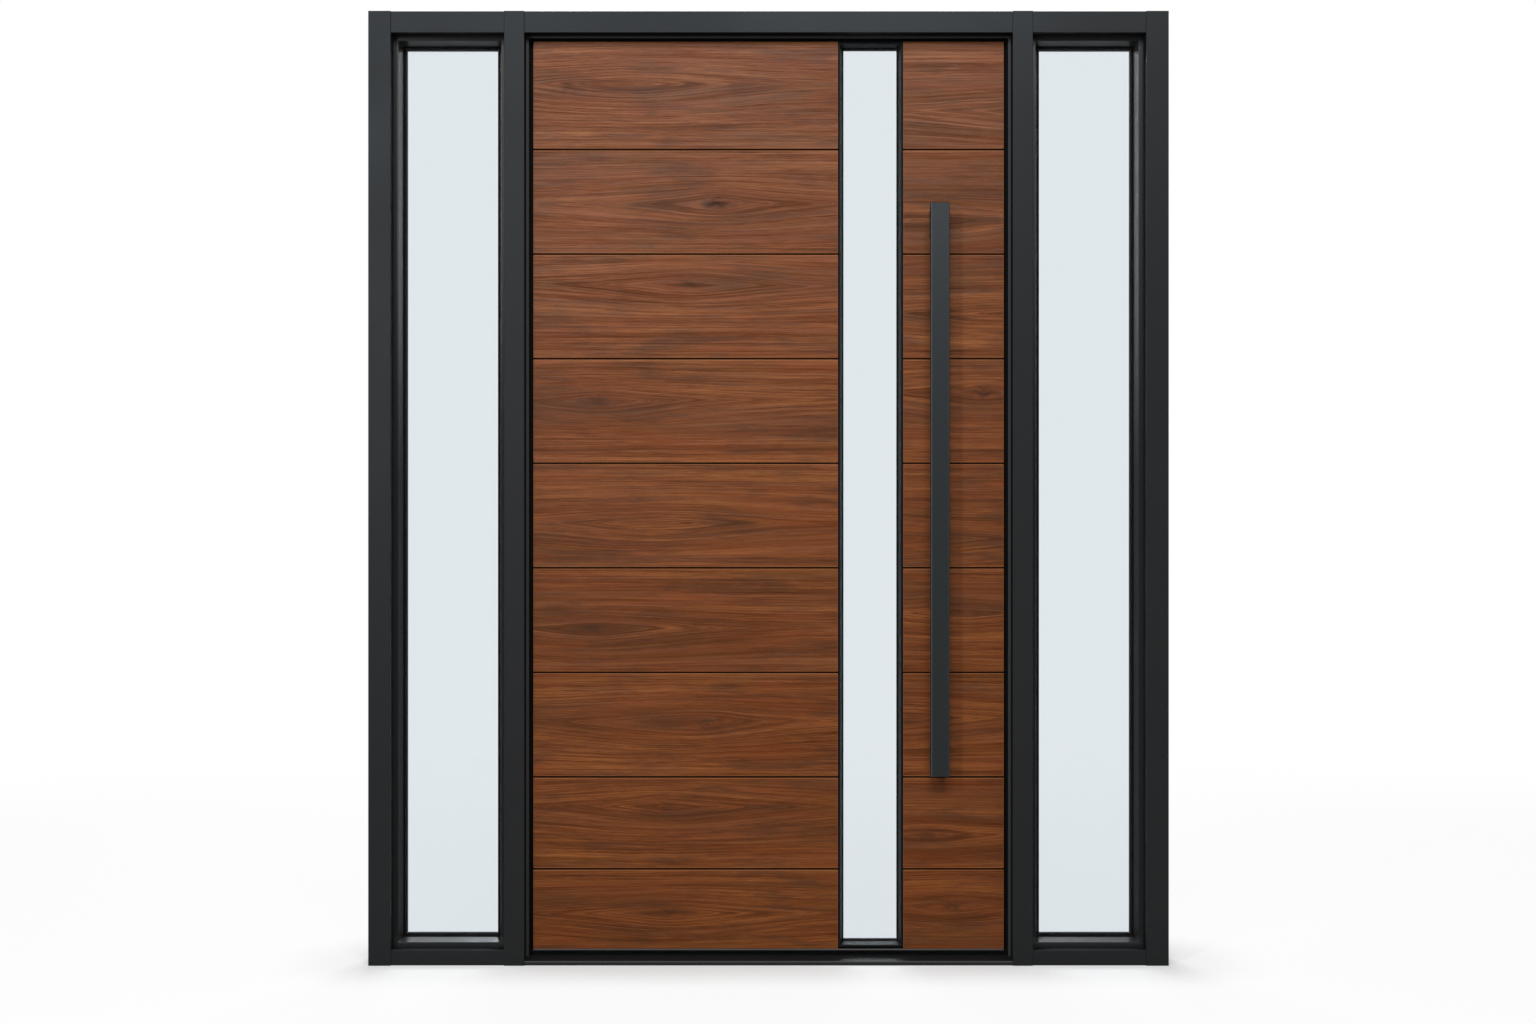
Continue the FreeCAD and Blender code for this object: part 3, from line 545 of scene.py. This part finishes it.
def near_knot(reach, wander):
    """1 at the knot's middle, falling to 0 over an uneven ellipse of that reach."""
    far = (knot_along / reach[0]) ** 2.0 + ((knot_above + wander) / reach[1]) ** 2.0
    return far.fading() * knot_dark


along, above, tone = attribute("figure")
knot_along, knot_above, knot_dark = attribute("knot")
from_left, from_right, from_bottom = attribute("edges")
from_top, depth, _ = attribute("edge_top")
log = tone * LOG_SPREAD

# Knots, and the lines that part round them and round the heart.
wander = (grain(WANDER_RATE, above, 3.0, 0.6) - 0.5) * EYE_WANDER
smudge = grain(SMUDGE_RATE, above, 3.0, 0.65)
swirl = near_knot(KNOT_SWIRL, 0.0)
halo = near_knot(KNOT_HALO, wander) * smudge.ramp(*HALO_SPAN)
eye = near_knot(KNOT_EYE, wander) * smudge.ramp(*EYE_SPAN)
drift = grain(DRIFT_RATE, above, 2.0) - 0.5
ripple = grain(RIPPLE_RATE, above, 2.0) - 0.5
height = above + drift * DRIFT + ripple * RIPPLE - knot_above * swirl * KNOT_PULL
spread = along * along
lens_shape = spread / (spread + LENS_REACH ** 2) * LENS_RISE * ((height / LENS_FADE) ** 2.0).fading()
flow = (height * height + HEART_ROUNDING ** 2).maths("SQRT") + height * LENS_LEAN + lens_shape

# Layers that follow those lines.
bands = grain(BAND_RATE, flow, 2.0)
lines = grain(LINE_RATE, flow, 3.0, 0.68)
fibres = grain(FIBRE_RATE, height, 3.0, 0.70)
open_pores = grain(PORE_RATE, height, 1.0).ramp(*PORE_SPAN) * PORE_SHARE
rippled = above + ripple * CLOUD_RIPPLE
clouds = grain(CLOUD_RATE, rippled, 4.0, 0.62).ramp(*CLOUD_SPAN)
hairline = 1.0 - (grain(HAIRLINE_RATE, flow, 1.0) - 0.5).maths("ABSOLUTE") * HAIRLINE_SHARPNESS
hairline = hairline.maths("MAXIMUM", 0.0) * grain(HAIRLINE_BREAKS, above, 1.0).ramp(*HAIRLINE_SPAN)
chevrons = grain(CHEVRON_RATE, flow, 1.0).ramp(*CHEVRON_SPAN)
broken = grain(CHEVRON_BREAKS, above, 2.0).ramp(*BREAKS_SPAN)
stain = chevrons * broken * ((flow / HEART_REACH) ** 2.0).fading()
red = grain(RED_RATE, above, 2.0).ramp(*RED_SPAN)
olive = grain(OLIVE_RATE, height, 2.0).ramp(*OLIVE_SPAN)
dark = grain(DARK_RATE, rippled, 2.0).ramp(*DARK_SPAN)
figure = bands * BAND_SHARE + lines * LINE_SHARE + fibres * FIBRE_SHARE

# Each layer covers a share of the wood below it with its own colour.
color = walnut.add("ShaderNodeValToRGB", {"stops": FIGURE_COLORS}, figure)
for layer, share, tint in (
        (red, 0.45, RED_TINT), (olive, 0.45, OLIVE_TINT), (dark, 0.42, DARK_BAND),
        (hairline, 0.45, HAIRLINE), (clouds, 0.60, HEART_STAIN), (stain, 0.85, HEART_STAIN),
        (swirl, 0.45, RED_TINT), (halo, 0.70, KNOT_BROWN), (eye, 0.95, KNOT_BLACK)):
    color = walnut.mix(layer * share, color, tint)
color = walnut.mix(open_pores, color, HAIRLINE)
# Painted highlight: a lighter colour along each board's arrises, where the edges catch the light.
nearest = from_left.maths("MINIMUM", from_right).maths("MINIMUM", from_bottom)
nearest = nearest.maths("MINIMUM", from_top)
color = walnut.mix(nearest.ramp(*ARRIS_WIDTH, WOOD_HIGHLIGHT_SHARE, 0.0), color, WOOD_ARRIS_HIGHLIGHT)
# Painted shade: deep in the joints between boards the colour goes near-black.
joint_shade = depth.ramp(*JOINT_DEPTH)
walnut.set("Base Color", walnut.mix(joint_shade, color, JOINT_SHADE))

# The oil shines more on the light streaks than on the dark lines, and not at all in knots and joints.
LINE_ROUGHNESS = (0.68, 0.50)
OIL_SPAN = (0.36, 0.62)
OIL_SHARE = (0.15, 0.95)
STAIN_DULL = 0.5
LINE_BUMP = 0.6
FIBRE_BUMP = 0.4

walnut.set("Roughness", lines.ramp(*NOISE_SPAN, *LINE_ROUGHNESS))
oil_film = figure.ramp(*OIL_SPAN, *OIL_SHARE) * (1.0 - stain * STAIN_DULL)
walnut.set("Coat Weight", oil_film * (1.0 - eye) * (1.0 - joint_shade))
walnut.bump(lines * LINE_BUMP + fibres * FIBRE_BUMP - open_pores, PORE_DEPTH, 0.5)

for node, figures, seed in (("boards_front_wide", WIDE_FIGURES, 0),
                            ("boards_front_narrow", NARROW_FIGURES, 11),
                            ("boards_back_wide", WIDE_FIGURES[::-1], 23),
                            ("boards_back_narrow", NARROW_FIGURES[::-1], 37)):
    board_piece(node, figures, seed)


# Pull bars.
# Flat steel bars on two blocks each, powder coated like the frame but glossier.
# Their long arrises carry a painted highlight, most at the left, and their narrow sides are dull and
# painted dark as shade.

BAR_FACE = (0.0036, 0.0034, 0.0022)
BAR_SIDE_SHADE = (0.0010, 0.0010, 0.0010)
BAR_ARRIS_HIGHLIGHT = (0.0160, 0.0160, 0.0150)
BAR_LEFT_HIGHLIGHT = (0.0360, 0.0355, 0.0340)
SIDE_PLAY = 0.0008
ARRIS_REACH = 0.0034
SIDE_ROUGHNESS = 0.95
FACE_ROUGHNESS = 0.38

bar_coat = Finish("bar_coat", BAR_FACE, FACE_ROUGHNESS, Specular_IOR_Level=0.29,
                  Specular_Tint=COOL_SHINE)
bar_low, bar_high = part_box("pull_bar_front")
aside, _, _ = bar_coat.split(bar_coat.place())
inset = (bar_high.x - bar_low.x) / 2 - (aside - (bar_low.x + bar_high.x) / 2).maths("ABSOLUTE")
on_face = inset.step(SIDE_PLAY)
# Painted highlight: a lighter colour along the long arrises, stronger on the left one.
shade = bar_coat.mix(inset.step(ARRIS_REACH), BAR_ARRIS_HIGHLIGHT, BAR_FACE)
shade = bar_coat.mix((aside - bar_low.x).step(ARRIS_REACH), BAR_LEFT_HIGHLIGHT, shade)
# Painted shade: the narrow sides are coloured near-black.
bar_coat.set("Base Color", bar_coat.mix(on_face, BAR_SIDE_SHADE, shade))
bar_coat.set("Roughness", on_face.ramp(0.0, 1.0, SIDE_ROUGHNESS, FACE_ROUGHNESS))
orange_peel(bar_coat)
coat(["pull_bar_front", "pull_bar_back", "pull_posts"], bar_coat)


# Lock plates.
# Brushed stainless strips for the lock's bolts, let into the leaf's edge and the right mullion.
# Each is sunk flush with the metal round it.

STAINLESS = (0.55, 0.55, 0.54)
STAINLESS_ROUGHNESS = (0.25, 0.40)
BRUSH_LINES = 2500.0

brushed = Finish("brushed_steel", STAINLESS, STAINLESS_ROUGHNESS[0], Metallic=1.0)
brush = drawn_lines(brushed, UPRIGHT_LINES, BRUSH_LINES)
brushed.set("Roughness", brush.ramp(*NOISE_SPAN, *STAINLESS_ROUGHNESS))
brushed.bump(brush, METAL_LINE_DEPTH, 0.6)
coat(["lock_keeper", "lock_faceplate"], brushed)


# Studio.
# A pale floor that keeps the shadow, a white surround and soft lamps from in front and behind.
# The floor's shadow is strongest at the foot of the frame and fades into white.

WHITE = (1.0, 1.0, 1.0, 1.0)
FLOOR_SIZE = 40.0
FLOOR_COLOR = (0.8, 0.8, 0.8)
FLOOR_BOUNCE = (0.4, 0.4, 0.4, 1.0)
FOOT_SHARE = 0.55
FOOT_REACH = 0.30
FLOOR_SHARE = 0.12
FLOOR_REACH = (2.5, 5.0)
ROOM_LIGHT = 0.20

floor_mesh = bpy.data.meshes.new("floor")
bm = bmesh.new()
bmesh.ops.create_grid(bm, x_segments=1, y_segments=1, size=FLOOR_SIZE / 2)
bm.to_mesh(floor_mesh)
bm.free()
floor = bpy.data.objects.new("floor", floor_mesh)
bpy.context.scene.collection.objects.link(floor)


def seen_as_white(tree):
    """1 for rays that come from the camera, a reflection or a pane, else 0."""
    rays = tree.nodes.new("ShaderNodeLightPath")
    seen = rays.outputs["Is Camera Ray"]
    for name in ("Is Glossy Ray", "Is Transmission Ray"):
        larger = tree.nodes.new("ShaderNodeMath")
        larger.operation = "MAXIMUM"
        tree.links.new(seen, larger.inputs[0])
        tree.links.new(rays.outputs[name], larger.inputs[1])
        seen = larger.outputs[0]
    return seen


floor_paint = Finish("floor_paint", FLOOR_COLOR, 0.9, Specular_IOR_Level=0.0)
floor_mesh.materials.append(floor_paint.material)
bounce = floor_paint.add("ShaderNodeBsdfDiffuse", {}, FLOOR_BOUNCE)
glow = floor_paint.add("ShaderNodeEmission", {}, WHITE, 1.0)
paint = Value(floor_paint, floor_paint.surface.outputs[0])
aside, ahead, _ = floor_paint.split(floor_paint.place())
aside = (aside.maths("ABSOLUTE") - frame_high.x).maths("MAXIMUM", 0.0)
ahead = (ahead.maths("ABSOLUTE") - frame_high.y).maths("MAXIMUM", 0.0)
away = (aside * aside + ahead * ahead).maths("SQRT")
share = away.ramp(0.0, FOOT_REACH, FOOT_SHARE, 0.0) + away.ramp(*FLOOR_REACH, FLOOR_SHARE, 0.0)
pale = floor_paint.add("ShaderNodeMixShader", {}, share, glow, paint)
seen = Value(floor_paint, seen_as_white(floor_paint.tree))
floor_paint.show(floor_paint.add("ShaderNodeMixShader", {}, seen, bounce, pale))

world = bpy.data.worlds.new("studio")
bpy.context.scene.world = world
world.use_nodes = True
tree = world.node_tree
light = tree.nodes["Background"]
light.inputs["Color"].default_value = WHITE
light.inputs["Strength"].default_value = ROOM_LIGHT
white = tree.nodes.new("ShaderNodeBackground")
white.inputs["Color"].default_value = WHITE
white.inputs["Strength"].default_value = 1.0
either = tree.nodes.new("ShaderNodeMixShader")
tree.links.new(seen_as_white(tree), either.inputs[0])
tree.links.new(light.outputs[0], either.inputs[1])
tree.links.new(white.outputs[0], either.inputs[2])
tree.links.new(either.outputs[0], tree.nodes["World Output"].inputs["Surface"])

# Each lamp's name, place, target, width and height in metres, and power in watts.
LAMPS = [
    ("key", (0.3, -5.7, 4.9), (0.0, 0.0, 1.4), (3.0, 1.8), 328.0),
    ("left", (-2.3, -5.0, 3.0), (-0.8, 0.0, 1.6), (0.5, 3.0), 119.0),
    ("behind", (-0.2, 5.7, 4.9), (0.0, 0.0, 1.4), (3.0, 1.8), 370.0)]

for name, place, target, size, power in LAMPS:
    lamp_data = bpy.data.lights.new(name, "AREA")
    lamp_data.shape = "RECTANGLE"
    lamp_data.size, lamp_data.size_y = size
    lamp_data.energy = power
    lamp = bpy.data.objects.new(name, lamp_data)
    lamp.location = place
    facing = Vector(target) - Vector(place)
    lamp.rotation_euler = facing.to_track_quat("-Z", "Y").to_euler()
    bpy.context.scene.collection.objects.link(lamp)

CAMERA_SIDE = -0.0013
CAMERA_DISTANCE = 5.685
CAMERA_HEIGHT = 1.2094
LENS = 50.0
SENSOR = 36.0

camera_data = bpy.data.cameras.new("camera")
camera_data.lens = LENS
camera_data.sensor_width = SENSOR
camera = bpy.data.objects.new("camera", camera_data)
camera.location = (CAMERA_SIDE, frame_low.y - CAMERA_DISTANCE, CAMERA_HEIGHT)
camera.rotation_euler = (math.radians(90.0), 0.0, 0.0)
bpy.context.scene.collection.objects.link(camera)
bpy.context.scene.camera = camera
bpy.context.scene.view_settings.view_transform = "Standard"
